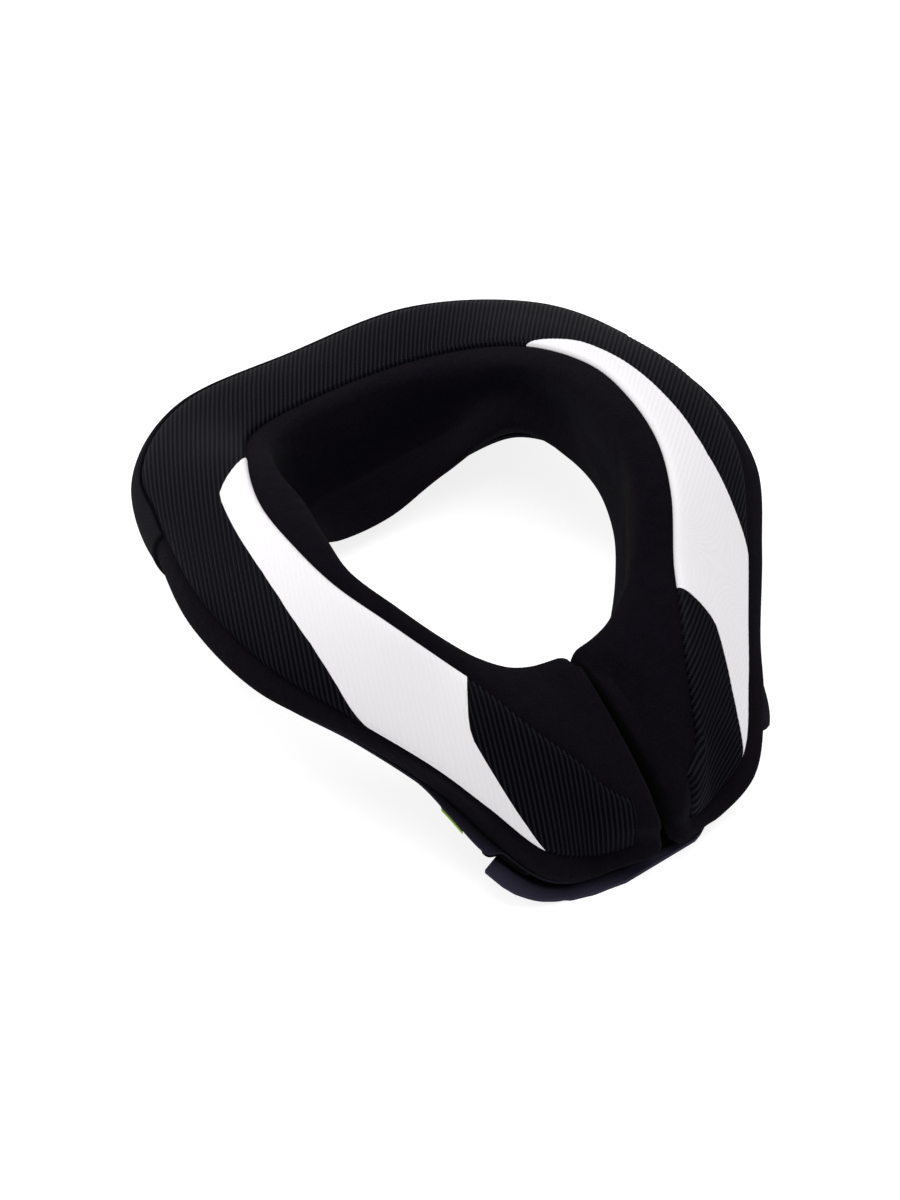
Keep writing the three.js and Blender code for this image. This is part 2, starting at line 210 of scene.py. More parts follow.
# The collar's surface: rows of one turn each, columns at outline positions; ends round off towards a spine
def collarPoints(turn, position, endSize=None):
    position = np.broadcast_to(position, (len(turn), np.shape(position)[-1]))
    sections = sectionsAt(turn)
    i = np.floor(position).astype(int)
    rows = np.arange(len(turn))[:, None]
    point = throughPoints(*(sections[rows, (i + k - 1) % outlineCount] for k in range(4)), position - i)
    inner = (sections[:, hole] + sections[:, ridge]) / 2
    outer = (sections[:, seam] + sections[:, foot]) / 2
    fromInner, fromOuter = collar["spine"]
    core = closestOnLine(point, mix(inner, outer, fromInner)[:, None], mix(outer, inner, fromOuter)[:, None])
    radius = np.hypot(point[..., 0], point[..., 1] - collar["neckAxisY"])
    fromEnd = np.abs(point[..., 0] - splitBow(radius)) - halfGap(radius)
    rest = 1 - np.clip(fromEnd / collar["endRound"], 0, 1)
    size = mix(collar["endFlat"], 1, np.sqrt(1 - rest ** 2))
    size = np.where(np.abs(turn)[:, None] > collar["splitStart"], size, 1)
    if endSize is not None:
        size = size * endSize[:, None]
    point = mix(core, point, size[..., None])
    floor = mix(*collar["lift"], smoothStep(*collar["liftTurns"], np.abs(turn)))
    point[..., 2] = np.maximum(point[..., 2], floor[:, None])
    return point


# Outward directions, square to the slopes along the collar and round the outline
def collarNormals(turn, position):
    position = np.broadcast_to(position, (len(turn), np.shape(position)[-1]))
    turnStep, placeStep = collar["slopeSteps"]
    low, high = np.maximum(turn - turnStep, -180), np.minimum(turn + turnStep, 180)
    along = collarPoints(high, position) - collarPoints(low, position)
    across = collarPoints(turn, position + placeStep) - collarPoints(turn, position - placeStep)
    normal = np.cross(along, across)
    return normal / np.maximum(np.linalg.norm(normal, axis=-1, keepdims=True), 1e-9)


# Running length along a list of points, from zero
def runLength(points):
    return np.concatenate([[0], np.cumsum(np.linalg.norm(np.diff(points, axis=0), axis=-1))])


# Turns with even steps of the given length along one outline position
def evenTurns(start, end, step, at=seam, samples=721):
    fine = np.linspace(start, end, samples)
    length = runLength(collarPoints(fine, np.array([at]))[:, 0])
    return np.interp(np.linspace(0, length[-1], int(length[-1] / step) + 2), length, fine)


# Lengths in millimetres along each row of a grid, from its first column
def rowLengths(points):
    steps = np.linalg.norm(np.diff(points, axis=1), axis=-1)
    return np.concatenate([np.zeros((len(points), 1)), np.cumsum(steps, 1)], 1)


def gridQuads(rows, columns, wrap=False):
    r, c = np.meshgrid(np.arange(rows - 1), np.arange(columns if wrap else columns - 1), indexing="ij")
    d = (c + 1) % columns
    corners = [r * columns + c, (r + 1) * columns + c, (r + 1) * columns + d, r * columns + d]
    return np.stack(corners, -1).reshape(-1, 4)


def makeObject(name, points, faces, finish, uv=None):
    mesh = bpy.data.meshes.new(name)
    mesh.from_pydata((points.reshape(-1, 3) * mm).tolist(), [], [list(f) for f in faces])
    if uv is not None:
        layer = mesh.uv_layers.new(name="cloth")
        corner = np.empty(len(mesh.loops), np.int32)
        mesh.loops.foreach_get("vertex_index", corner)
        layer.data.foreach_set("uv", uv.reshape(-1, 2)[corner].astype(np.float32).ravel())
    mesh.polygons.foreach_set("use_smooth", np.ones(len(mesh.polygons), bool))
    mesh.materials.append(finish)
    mesh.update()
    piece = bpy.data.objects.new(name, mesh)
    bpy.context.scene.collection.objects.link(piece)
    return piece


# A closed wall over a grid of points: an outer and an inner layer along the normals, joined round the rim
def wallMesh(name, points, normals, inner, outer, finish, uv=None):
    rows, columns = points.shape[:2]
    layers = np.concatenate([points + normals * outer, points + normals * inner])
    count = rows * columns
    top = gridQuads(rows, columns)
    index = np.arange(count).reshape(rows, columns)
    rim = np.concatenate([index[:, 0], index[-1, 1:], index[-2::-1, -1], index[0, -2:0:-1]])
    nextRim = np.roll(rim, -1)
    sides = np.stack([rim, rim + count, nextRim + count, nextRim], -1)
    faces = np.concatenate([top, top[:, ::-1] + count, sides])
    both = None if uv is None else np.concatenate([uv, uv])
    return makeObject(name, layers, faces, finish, both)


def softenEdges(piece, width, segments=3):
    bevel = piece.modifiers.new("edges", "BEVEL")
    bevel.width, bevel.segments = width * mm, segments
    bevel.limit_method, bevel.angle_limit = "ANGLE", math.radians(40)


def declare(piece, node):
    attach(piece, "root")
    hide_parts(node)
    print(piece.name + ":", len(piece.data.polygons), "faces")


# Shader expressions
class Val:
    def __init__(self, finish, socket):
        self.finish, self.socket = finish, socket

    def math(self, operation, *others):
        return self.finish.node("ShaderNodeMath", {"operation": operation}, [self, *others])

    def __add__(self, other):
        return self.math("ADD", other)

    def __rsub__(self, other):
        return self.finish.node("ShaderNodeMath", {"operation": "SUBTRACT"}, [other, self])

    def __mul__(self, other):
        return self.math("MULTIPLY", other)


class Finish:
    def __init__(self, name, **constants):
        self.material = bpy.data.materials.new(name)
        self.material.use_nodes = True
        self.tree = self.material.node_tree
        self.shader = self.tree.nodes["Principled BSDF"]
        for socket, value in constants.items():
            self.set(socket.replace("_", " "), value)

    def feed(self, socket, value):
        if isinstance(value, Val):
            self.tree.links.new(value.socket, socket)
        elif isinstance(value, tuple) and socket.type == "RGBA":
            socket.default_value = (*value, 1.0)
        else:
            socket.default_value = value

    def node(self, kind, settings=None, inputs=None, output=0):
        made = self.tree.nodes.new(kind)
        for key, value in (settings or {}).items():
            setattr(made, key, value)
        pairs = enumerate(inputs) if isinstance(inputs, list) else (inputs or {}).items()
        for key, value in pairs:
            self.feed(made.inputs[key], value)
        return Val(self, made.outputs[output])

    def set(self, socket, value):
        self.feed(self.shader.inputs[socket], value)

    def places(self):
        return self.node("ShaderNodeTexCoord", output="Object")

    def clothUv(self):
        both = self.node("ShaderNodeUVMap", {"uv_map": "cloth"})
        return [self.node("ShaderNodeSeparateXYZ", None, [both], axis) for axis in "XY"]

    def noise(self, size, detail=2.0, roughness=0.5):
        return self.node("ShaderNodeTexNoise", None, {
            "Vector": self.places(), "Scale": 1 / (size * mm), "Detail": detail, "Roughness": roughness})

    def blend(self, low, high, share):
        return self.node("ShaderNodeMix", {"data_type": "RGBA"}, {0: share, 6: low, 7: high}, 2)

    def bump(self, height, depth, under=None):
        inputs = {"Height": height, "Distance": depth * mm, "Strength": 1.0}
        if under is not None:
            inputs["Normal"] = under
        return self.node("ShaderNodeBump", None, inputs)


def fleeceFinish():
    f = Finish("brushed fleece", Roughness=1.0, Specular_IOR_Level=0.015, Sheen_Weight=0.01,
               Sheen_Roughness=0.6)
    pile = f.noise(0.9, 3.0, 0.6)
    lumps = f.noise(6.0, 2.0)
    f.set("Base Color", f.blend((0.0006, 0.0004, 0.0011), (0.0064, 0.005, 0.0087), pile * 0.7 + lumps * 0.3))
    f.set("Normal", f.bump(pile, 0.5, f.bump(lumps, 0.8)))
    return f.material


# Cords side by side: u counts the cords, v runs along them in millimetres
def ribbedFinish():
    f = Finish("ribbed cloth", Specular_IOR_Level=0.05, Specular_Tint=(0.85, 0.83, 1.0))
    u, v = f.clothUv()
    cord = (u * (2 * math.pi)).math("COSINE") * 0.5 + 0.5
    dots = (v * (2 * math.pi / 1.1)).math("SINE") * 0.5 + 0.5
    fibre = f.noise(0.5, 2.0)
    # painted shade in the cord grooves and painted highlight on cord tops, over knit dots and fibre tone
    cordShadeAndTone = cord.math("POWER", 1.8) * (dots * 0.5 + 0.5) * (fibre * 0.8 + 0.6)
    f.set("Base Color", f.blend((0.0002, 0.0002, 0.0007), (0.0092, 0.0088, 0.0138), cordShadeAndTone))
    f.set("Roughness", 0.55 - cord * 0.15)
    f.set("Normal", f.bump(cord + dots * 0.3 * cord + fibre * 0.2, 0.3))
    return f.material


def whiteFinish():
    f = Finish("white print", Roughness=0.6, Specular_IOR_Level=0.2)
    u, v = f.clothUv()
    cord = (u * (2 * math.pi)).math("COSINE") * 0.5 + 0.5
    fibre = f.noise(0.6, 2.0)
    f.set("Base Color", f.blend((0.68, 0.662, 0.684), (0.735, 0.717, 0.739), cord * 0.3 + fibre * 0.7))
    f.set("Normal", f.bump(cord + fibre * 0.4, 0.03))
    return f.material


# Woven cloth. With a fold, it gets painted shade: it goes dark as u, the distance out from the rim, falls
# from the fold's second value to its first, standing in for the rim's shadow on the cloth.
def clothFinish(name, low, high, grain, roughness=0.85, specular=0.06, weave=0.8, fold=None):
    f = Finish(name, Roughness=roughness, Specular_IOR_Level=specular)
    threads = f.node("ShaderNodeTexWave", {"bands_direction": "DIAGONAL"}, {
        "Vector": f.places(), "Scale": 0.16 / (weave * mm), "Distortion": 1.0, "Detail": 1.0}, 1)
    spots = f.noise(grain, 3.0, 0.6)
    colour = f.blend(low, high, spots * 0.85 + threads * 0.15)
    if fold:
        # painted shade: near black by the rim, fading to the cloth's colour further out
        out = f.node("ShaderNodeMapRange", {"interpolation_type": "SMOOTHSTEP"}, [f.clothUv()[0], *fold])
        colour = f.blend((0.0012, 0.001, 0.002), colour, out)
    f.set("Base Color", colour)
    f.set("Normal", f.bump(spots + threads * 0.3, 0.12))
    return f.material


# A tube of rings closed at both ends by a fan of triangles to the middle of the end ring
def closedRings(rings):
    rows, columns = rings.shape[:2]
    count, step = rows * columns, np.arange(columns)
    after, lastRow = (step + 1) % columns, (rows - 1) * columns
    fans = np.concatenate([
        np.stack([np.full(columns, count), step, after], -1),
        np.stack([np.full(columns, count + 1), lastRow + after, lastRow + step], -1),
    ])
    points = np.concatenate([rings.reshape(-1, 3), rings[:1].mean(1), rings[-1:].mean(1)])
    return points, gridQuads(rows, columns, True).tolist() + fans.tolist()


# Columns round the outline: so many even steps in each span between two outline places
def outlineColumns(spans):
    return np.concatenate([k + np.arange(n) / n for k, n in enumerate(spans)])


# Stuffing: the whole skin as cloth under pressure, sewn down at its seams and resting on its underside
stuffing = {
    "step": 4.6,
    "spans": (9, 6, 4, 8, 8, 6, 6, 5, 5),
    "pressure": 4.0,
    "frames": 20,
    "bending": 2.0,
    "most": 2.0,          # cap on the swelling, and on the dents between
    "least": -0.8,
    "hold": 3.5,          # how far from a seam the stitches hold the cloth down
    "under": (0.4, 0.05), # outline positions before the foot and past the lower inner edge that lie still
    "holdLevels": 4,
    "calm": (166.0, 179.0),
    "evenings": 12,       # passes that even the swelling out along the collar
}
stuffTurns = evenTurns(-180, 180, stuffing["step"])
stuffColumns = outlineColumns(stuffing["spans"])


# How firmly the stitches hold each point: fully on a seam and underneath, less with the distance squared
def sewnHold(points):
    length = rowLengths(np.concatenate([points, points[:, :1]], 1))
    at = [length[:, sum(stuffing["spans"][:place])][:, None] for place in (crest, seam)]
    length = length[:, :-1]
    hold = sum(np.exp(-(((length - line) / stuffing["hold"]) ** 2)) for line in at)
    beforeFoot, pastHole = stuffing["under"]
    under = (stuffColumns > foot - beforeFoot) | (stuffColumns < pastHole)
    ends = np.abs(stuffTurns)[:, None] > stuffing["calm"][1]
    return np.where(under[None] | ends, 1, np.clip(hold, 0, 1))


def stuffedHeights():
    f = stuffing
    points = collarPoints(stuffTurns, stuffColumns)
    normals = collarNormals(stuffTurns, stuffColumns)
    piece = makeObject("stuffing", *closedRings(points), None)
    hold = np.append(np.round(sewnHold(points) * f["holdLevels"]).ravel(), [f["holdLevels"]] * 2)
    group = piece.vertex_groups.new(name="sewn")
    for level in range(1, f["holdLevels"] + 1):
        group.add(np.flatnonzero(hold == level).tolist(), level / f["holdLevels"], "REPLACE")
    cloth = piece.modifiers.new("cloth", "CLOTH")
    cloth.settings.vertex_group_mass = "sewn"
    cloth.settings.use_pressure = True
    cloth.settings.uniform_pressure_force = f["pressure"]
    cloth.settings.bending_stiffness = f["bending"]
    cloth.settings.effector_weights.gravity = 0
    cloth.collision_settings.use_collision = False
    cloth.point_cache.frame_start, cloth.point_cache.frame_end = 1, f["frames"]
    for step in range(1, f["frames"] + 1):
        bpy.context.scene.frame_set(step)
    moved = np.empty(len(hold) * 3)
    swollen = piece.evaluated_get(bpy.context.evaluated_depsgraph_get()).data
    swollen.vertices.foreach_get("co", moved)
    moved = moved.reshape(-1, 3)[:-2].reshape(points.shape) / mm
    bpy.context.scene.frame_set(1)
    bpy.data.meshes.remove(piece.data)
    heights = np.sum((moved - points) * normals, -1)
    for step in range(f["evenings"]):
        heights[1:-1] = (heights[:-2] + 2 * heights[1:-1] + heights[2:]) / 4
    print("stuffing: swells by", np.round(np.percentile(heights, [1, 50, 90, 99]), 2), "mm")
    calm = 1 - smoothStep(*f["calm"], np.abs(stuffTurns))[:, None]
    return np.clip(heights, f["least"], f["most"]) * calm


stuffHeights = stuffedHeights()


# Weights of four neighbours for a smooth cubic reading, share t between the middle two
def cubicWeights(t):
    return ((-t + 2 * t ** 2 - t ** 3) / 2, (2 - 5 * t ** 2 + 3 * t ** 3) / 2,
            (t + 4 * t ** 2 - 3 * t ** 3) / 2, (t ** 3 - t ** 2) / 2)


# Height of the stuffed skin over the plain form, read between the simulated points
def puffAt(turn, position):
    rows, columns = stuffHeights.shape
    row = np.interp(turn, stuffTurns, np.arange(rows))[:, None]
    position = np.broadcast_to(position, (len(turn), np.shape(position)[-1]))
    column = np.interp(position, np.append(stuffColumns, outlineCount), np.arange(columns + 1))
    r, c = np.floor(row).astype(int), np.floor(column).astype(int)
    total = np.zeros(position.shape)
    for i, a in enumerate(cubicWeights(row - r)):
        for j, b in enumerate(cubicWeights(column - c)):
            total += a * b * stuffHeights[np.clip(r + i - 1, 0, rows - 1), (c + j - 1) % columns]
    return total


# Fleece roll: the padded body
rollForm = {
    "step": 3.0,          # mesh step along the collar
    "spans": (26, 14, 6, 8, 8, 8, 8, 6, 6),   # mesh steps between neighbouring outline places
    "sink": 1.2,          # how far the body lies under the cloth that covers it
    "sinkRun": 2.0,       # distance over which it sinks
    "underRun": 4.0,
    "underEnd": (8.5, 8.75),                  # outline positions where the base cloth stops
    "endRadius": 130.0,   # from the neck axis to the panel's ends
    "groove": 1.0,        # depth of the sewn edge beside the panel
    "grooveWidth": 2.2,
    "endSizes": (0.92, 0.7, 0.4, 0.08),       # rings that close a lobe's end
    # crease across the back of the neck wall: turn, outline position, depth
    "crease": ((-40, 0.4, 0), (-32, 0.54, 3), (-25, 0.69, 5), (-20, 0.75, 6), (-14, 0.79, 6), (0, 0.8, 5.5),
               (14, 0.79, 3.5), (22, 0.75, 1.5), (30, 0.65, 0)),
    "creaseWidths": (0.06, 0.32),             # below and above, in outline positions
    "ledge": 3.5,         # rise of the fold below the crease
    "ledgeDrop": 0.38,
    "ledgeWidth": 0.22,
}


# Height of the neck wall's crease: a valley, steep below and gentle above, and a soft fold under it
def creaseHeight(turn, position):
    f = rollForm
    table = np.array(f["crease"], float)
    at, depth = (np.interp(turn, table[:, 0], table[:, k])[:, None] for k in (1, 2))
    below, above = f["creaseWidths"]
    valley = np.exp(-np.abs(position - at) / np.where(position < at, below, above))
    fold = np.exp(-(((position - at + f["ledgeDrop"]) / f["ledgeWidth"]) ** 2))
    height = f["ledge"] * fold * depth / table[:, 2].max() - depth * valley
    return np.where(position < ridge, height, 0)


def makeRoll():
    f = rollForm
    position = outlineColumns(f["spans"])
    turn = evenTurns(-180, 180, f["step"])
    points = collarPoints(turn, position)
    normals = collarNormals(turn, position)
    length = rowLengths(np.concatenate([points, points[:, :1]], 1))
    at = {place: length[:, sum(f["spans"][:place])][:, None] for place in (crest, seam, foot)}
    length = length[:, :-1]
    fromEnd = (collar["panelEnd"] - np.abs(turn))[:, None] * np.pi / 180 * f["endRadius"]
    inside = np.minimum(np.minimum(length - at[crest], at[seam] - length), fromEnd)
    outside = np.maximum(-inside, 0)
    under = smoothStep(0, f["underRun"], length - at[foot]) * (1 - smoothStep(*f["underEnd"], position))
    rise = puffAt(turn, position) - f["groove"] * np.exp(-((outside / f["grooveWidth"]) ** 2))
    rise = mix(rise, rise + f["groove"] - f["sink"], smoothStep(0, f["sinkRun"], inside))
    rise = mix(rise, -f["sink"], under) + creaseHeight(turn, position)
    points = points + normals * rise[..., None]
    sizes = np.array(f["endSizes"])
    caps = [collarPoints(np.full(len(sizes), side * 180.0), position, sizes) for side in (-1, 1)]
    rings = np.concatenate([caps[0][::-1], points, caps[1]])
    piece = makeObject("fleeceRoll", *closedRings(rings), fleeceFinish())
    declare(piece, "fleece_roll")


# Ribs: cords of even pitch. Their lean is given as seen from above, in degrees from straight back towards the
# right, and grows round the collar. On the right lobe the cords run straight.
ribs = {
    "pitch": 2.1, "lean": 31.0, "leanGrowth": 0.125, "height": 0.26, "rows": 1401, "columns": 41,
    "lobe": {
        "across": (0.62, -0.64, -0.454),
        "along": (0.765, 0.622, 0.168),
        "pitch": 2.0,
        "turns": (124.0, 143.0),
    },
}


# Sum of a field along a grid's lines: down the middle column first, then out along each row
def sumAlong(field, points):
    middle = points.shape[1] // 2
    down = np.sum((field[1:] + field[:-1])[:, middle] / 2 * np.diff(points[:, middle], axis=0), -1)
    out = np.sum((field[:, 1:] + field[:, :-1]) / 2 * np.diff(points, axis=1), -1)
    down = np.concatenate([[0], np.cumsum(down)])[:, None]
    out = np.concatenate([np.zeros((len(points), 1)), np.cumsum(out, 1)], 1)
    return down + out - out[:, middle:middle + 1]


# Directions across and along the cords, in the surface with the given normals
def ribDirections(normals, lean):
    lean = np.broadcast_to(np.radians(lean), normals.shape[:2])
    ribX, ribY = np.sin(lean), np.cos(lean)
    ribZ = -(normals[..., 0] * ribX + normals[..., 1] * ribY) / normals[..., 2]
    along = np.stack([ribX, ribY, ribZ], -1)
    along /= np.linalg.norm(along, axis=-1, keepdims=True)
    return np.cross(normals, along), along


# u counts the cords and v runs along them: each is the sum, over the surface, of the step across or along
# the cord
def ribTables():
    turn = np.linspace(-collar["panelEnd"], collar["panelEnd"], ribs["rows"])
    position = np.linspace(crest, seam, ribs["columns"])
    points, normals = collarPoints(turn, position), collarNormals(turn, position)
    across, along = ribDirections(normals, ribs["lean"] + ribs["leanGrowth"] * turn[:, None])
    uv = np.stack([sumAlong(across, points) / ribs["pitch"], sumAlong(along, points)], -1)
    lobe = ribs["lobe"]
    lobeAcross, lobeAlong = (points @ np.array(lobe[key]) for key in ("across", "along"))
    straight = np.stack([lobeAcross / lobe["pitch"], lobeAlong], -1)
    join = np.argmin(np.abs(turn - np.mean(lobe["turns"]))), ribs["columns"] // 2
    straight += uv[join] - straight[join]
    return mix(uv, straight, smoothStep(*lobe["turns"], turn)[:, None, None])


ribTable = ribTables()


def ribCoordinates(turn, share):
    rows, columns = ribTable.shape[:2]
    row = (turn / collar["panelEnd"] + 1) / 2 * (rows - 1)
    row = np.clip(row, 0, rows - 1.001)[:, None]
    column = np.clip(share * (columns - 1), 0, columns - 1.001)
    r, c = row.astype(int), column.astype(int)
    down, out = (row - r)[..., None], (column - c)[..., None]
    upper, lower = (mix(ribTable[r + k, c], ribTable[r + k, c + 1], out) for k in (0, 1))
    return mix(upper, lower, down)


def ribHeight(uv):
    return ribs["height"] / 2 * np.cos(2 * np.pi * uv[..., 0])


# Ribbed panel: the cloth over the top, tucked into its seams
panelForm = {
    # turn where a stretch of mesh begins, step along the collar: finer where the cords cross the collar
    "stretches": ((-176, 0.64), (-125, 0.8), (-100, 1.0), (-75, 1.3), (-25, 0.62), (55, 0.8), (80, 0.95),
                  (124, 0.75), (176, 0)),
    "columns": 83,
    "lift": 1.5,          # height over the foam
    "tuck": 0.9,          # how far the sewn edge dives in
    "roll": 1.3,          # width of the rounded edge
    "backInset": 0.06,    # share of the width that the grey band takes at the back
    "backFade": 8.0,      # turns over which it gives this back
    "widthSteps": 40,     # steps in which the panel's width is measured
    "endRadius": 135.0,   # from the neck axis to the panel's ends
    "ribFade": (0.5, 2.5),                    # distance in from the edge over which the cords rise
    "coarse": (0.3, 0.45),                    # cords per mesh step over which their relief fades out
}


# Share of the panel's width at its outer edge
def panelEdge(turn):
    end = collar["bandEnd"]
    return 1 - panelForm["backInset"] * (1 - smoothStep(end - panelForm["backFade"], end, np.abs(turn)))


def panelTurns():
    stretches = panelForm["stretches"]
    parts = [evenTurns(a, b, step)[:-1] for (a, step), (b, after) in zip(stretches, stretches[1:])]
    return np.append(np.concatenate(parts), stretches[-1][0])


# Distance in from the panel's nearest edge
def panelInside(turn, share):
    f = panelForm
    width = rowLengths(collarPoints(turn, np.linspace(crest, seam, f["widthSteps"])))[:, -1:]
    fromEnd = (collar["panelEnd"] - np.abs(turn))[:, None] * np.pi / 180 * f["endRadius"]
    return np.minimum(np.minimum(share, panelEdge(turn)[:, None] - share) * width, fromEnd)


# The panel's surface: the stuffed skin, lifted by the cloth and tucked in at the edge, with the cords'
# relief over it, which fades where the grid is too coarse to carry them
def panelSurface(turn, share):
    f = panelForm
    position = mix(crest, seam, share)
    normals = collarNormals(turn, position)
    inside = np.maximum(panelInside(turn, share), 0)
    uv = ribCoordinates(turn, share)
    height = f["lift"] - (f["lift"] + f["tuck"]) * np.exp(-inside / f["roll"])
    height = height + puffAt(turn, position)
    step = np.maximum(*(np.abs(np.gradient(uv[..., 0], axis=k)) for k in (0, 1)))
    relief = ribHeight(uv) * smoothStep(*f["ribFade"], inside) * (1 - smoothStep(*f["coarse"], step))
    return collarPoints(turn, position) + normals * height[..., None], normals, uv, relief[..., None]


def makePanel():
    turn = panelTurns()
    share = np.linspace(0, 1, panelForm["columns"]) * panelEdge(turn)[:, None]
    points, normals, uv, relief = panelSurface(turn, share)
    points = points + normals * relief
    piece = makeObject("ribbedPanel", points, gridQuads(*points.shape[:2]), ribbedFinish(), uv)
    declare(piece, "ribbed_panel")


# White flashes: printed zones on the panel's sides
flashForm = {
    "step": 0.7,
    "columns": 60,
    "above": 0.22,        # over the panel's ribs
    "below": 0.3,
    "ribShare": 0.35,     # how much of the ribs shows through the print
    # turn, inner and outer share of the panel's width
    "left": (
        (39, 0, 0.014), (54, 0, 0.305), (57, 0, 0.325), (76, 0, 0.36), (84, 0, 0.385), (92, 0, 0.43),
        (100, 0, 0.505), (106, 0, 0.578), (112, 0, 0.685), (116, 0, 0.772), (120, 0, 0.878), (125, 0, 1),
        (144.6, 0, 1), (145, 0.22, 1), (145.4, 0.34, 1), (146, 0.44, 1), (147, 0.515, 1), (157, 0.855, 1),
        (160, 0.99, 1),
    ),
    "right": (
        (41, 0, 0.004), (45, 0, 0.08), (51, 0, 0.185), (54, 0, 0.227), (57, 0, 0.245), (68, 0, 0.287),
        (84, 0, 0.34), (98, 0, 0.415), (104, 0, 0.475), (108, 0, 0.55), (112, 0, 0.635), (116, 0, 0.73),
        (126.5, 0, 1), (146.4, 0, 1), (146.8, 0.24, 1), (147.2, 0.37, 1), (148, 0.44, 1), (151, 0.53, 1),
        (155, 0.655, 1), (157, 0.755, 1), (160, 0.99, 1),
    ),
}


def makeFlash(side, name, node):
    f = flashForm
    table = np.array(f["left" if side < 0 else "right"], float)
    turn = np.unique(np.concatenate([evenTurns(table[0, 0], table[-1, 0], f["step"]), table[:, 0]]))
    inner, outer = (np.interp(turn, table[:, 0], table[:, k]) for k in (1, 2))
    share = mix(inner[:, None], outer[:, None], np.linspace(0, 1, f["columns"]))
    if side < 0:
        turn, share = -turn[::-1], share[::-1]
    points, normals, uv, relief = panelSurface(turn, share)
    above = f["above"] + mix(ribs["height"] / 2, relief, f["ribShare"])
    piece = wallMesh(name, points, normals, -f["below"], above, whitePrint, uv)
    declare(piece, node)


# Back band: smooth cloth round the back of the rim
bandForm = {"step": 2.5, "columns": 30, "gap": 0.03, "foot": foot - 1 / 3, "inner": -0.5, "outer": 1.8}


def makeBand():
    f = bandForm
    turn = evenTurns(-collar["bandEnd"], collar["bandEnd"], f["step"])
    top = mix(crest, seam, panelEdge(turn))[:, None] + f["gap"]
    position = mix(top, f["foot"], np.linspace(0, 1, f["columns"]))
    normals = collarNormals(turn, position)
    points = collarPoints(turn, position) + normals * puffAt(turn, position)[..., None]
    finish = clothFinish("grey knit", (0.0028, 0.0024, 0.0037), (0.0084, 0.0076, 0.0101), 1.2)
    piece = wallMesh("backBand", points, normals, f["inner"], f["outer"], finish)
    softenEdges(piece, 0.8)
    declare(piece, "back_band")


# Base cloth: the underside, standing out as a small wing at each front corner
baseForm = {
    "step": 2.2, "columns": 26, "under": 0.3, "wall": 1.5, "inset": 0.5,
    "edge": 1.0, "wingStart": 132.0, "wingTip": 149.0, "wingEnd": 153.0, "wingReach": (8.0, 11.0),
}
down = np.array([0.0, 0.0, -1.0])


def baseReach(turn):
    f = baseForm
    size = np.abs(turn)
    grow = smoothStep(f["wingStart"], f["wingTip"], size)
    wing = np.where(size < f["wingTip"], grow, 1 - smoothStep(f["wingTip"], f["wingEnd"], size))
    return f["edge"] + np.where(turn < 0, *f["wingReach"]) * wing


# Points that stand out from the rim's foot by reach, level with it
def pastFoot(turn, reach):
    point = collarPoints(turn, np.array([foot]))[:, 0]
    outward = point - np.array([0, collar["neckAxisY"], 0])
    outward[:, 2] = 0
    outward /= np.linalg.norm(outward, axis=-1, keepdims=True)
    return point + outward * np.broadcast_to(reach, (len(turn),))[:, None]


# Columns that stand out from the foot, then columns on the underside, which may be cut at other turns
def footGrid(turn, reaches, position, innerTurn=None):
    innerTurn = turn if innerTurn is None else innerTurn
    edge = np.stack([pastFoot(turn, reach) for reach in reaches], 1)
    points = np.concatenate([edge, collarPoints(innerTurn, position)], 1)
    normals = np.concatenate([np.broadcast_to(down, edge.shape), collarNormals(innerTurn, position)], 1)
    return points, normals


def makeBase():
    f = baseForm
    turn = evenTurns(-collar["baseEnd"], collar["baseEnd"], f["step"])
    reach = baseReach(turn)
    position = np.linspace(foot, outlineCount - f["inset"], f["columns"])
    points, normals = footGrid(turn, [reach, reach * 0.5], position)
    finish = clothFinish("base cloth", (0.007, 0.0063, 0.012), (0.021, 0.0195, 0.031), 1.0)
    piece = wallMesh("basePanel", points, normals, f["under"], f["under"] + f["wall"], finish)
    softenEdges(piece, 0.6)
    declare(piece, "base_panel")


# Closing strap, hook tape and label, all under the front of the rim
strapForm = {
    "step": 1.6, "wall": 2.2, "baseLift": 1.8,
    "fold": (-0.5, 2.6),          # reach over which painted shade, for the rim's shadow, darkens the cloth
    "slant": (5.0, 20.0, 31.0),   # turns by which the free end is cut askew, and where that begins and ends
    "inner": (-12.0, -24.0),      # reach given to the two hidden columns
    # turn past the split, reach beyond the rim, distance below the base cloth, droop of the front edge
    "rows": (
        (-23, -2, 0.6, 0), (-17, -1.5, 0.6, 0), (-12, -1, 3, 0), (-8, 2, 10, 0), (8, 7, 10, 0),
        (12, 7.7, 3, 0), (17, 6.5, 2.2, 0), (20, 7.5, 2.2, 1.5), (23, 9.7, 2.2, 3), (26, 12.8, 2.2, 3.5),
        (28, 13.8, 2.2, 3.5), (31, 13, 2.2, 3.5),
    ),
}


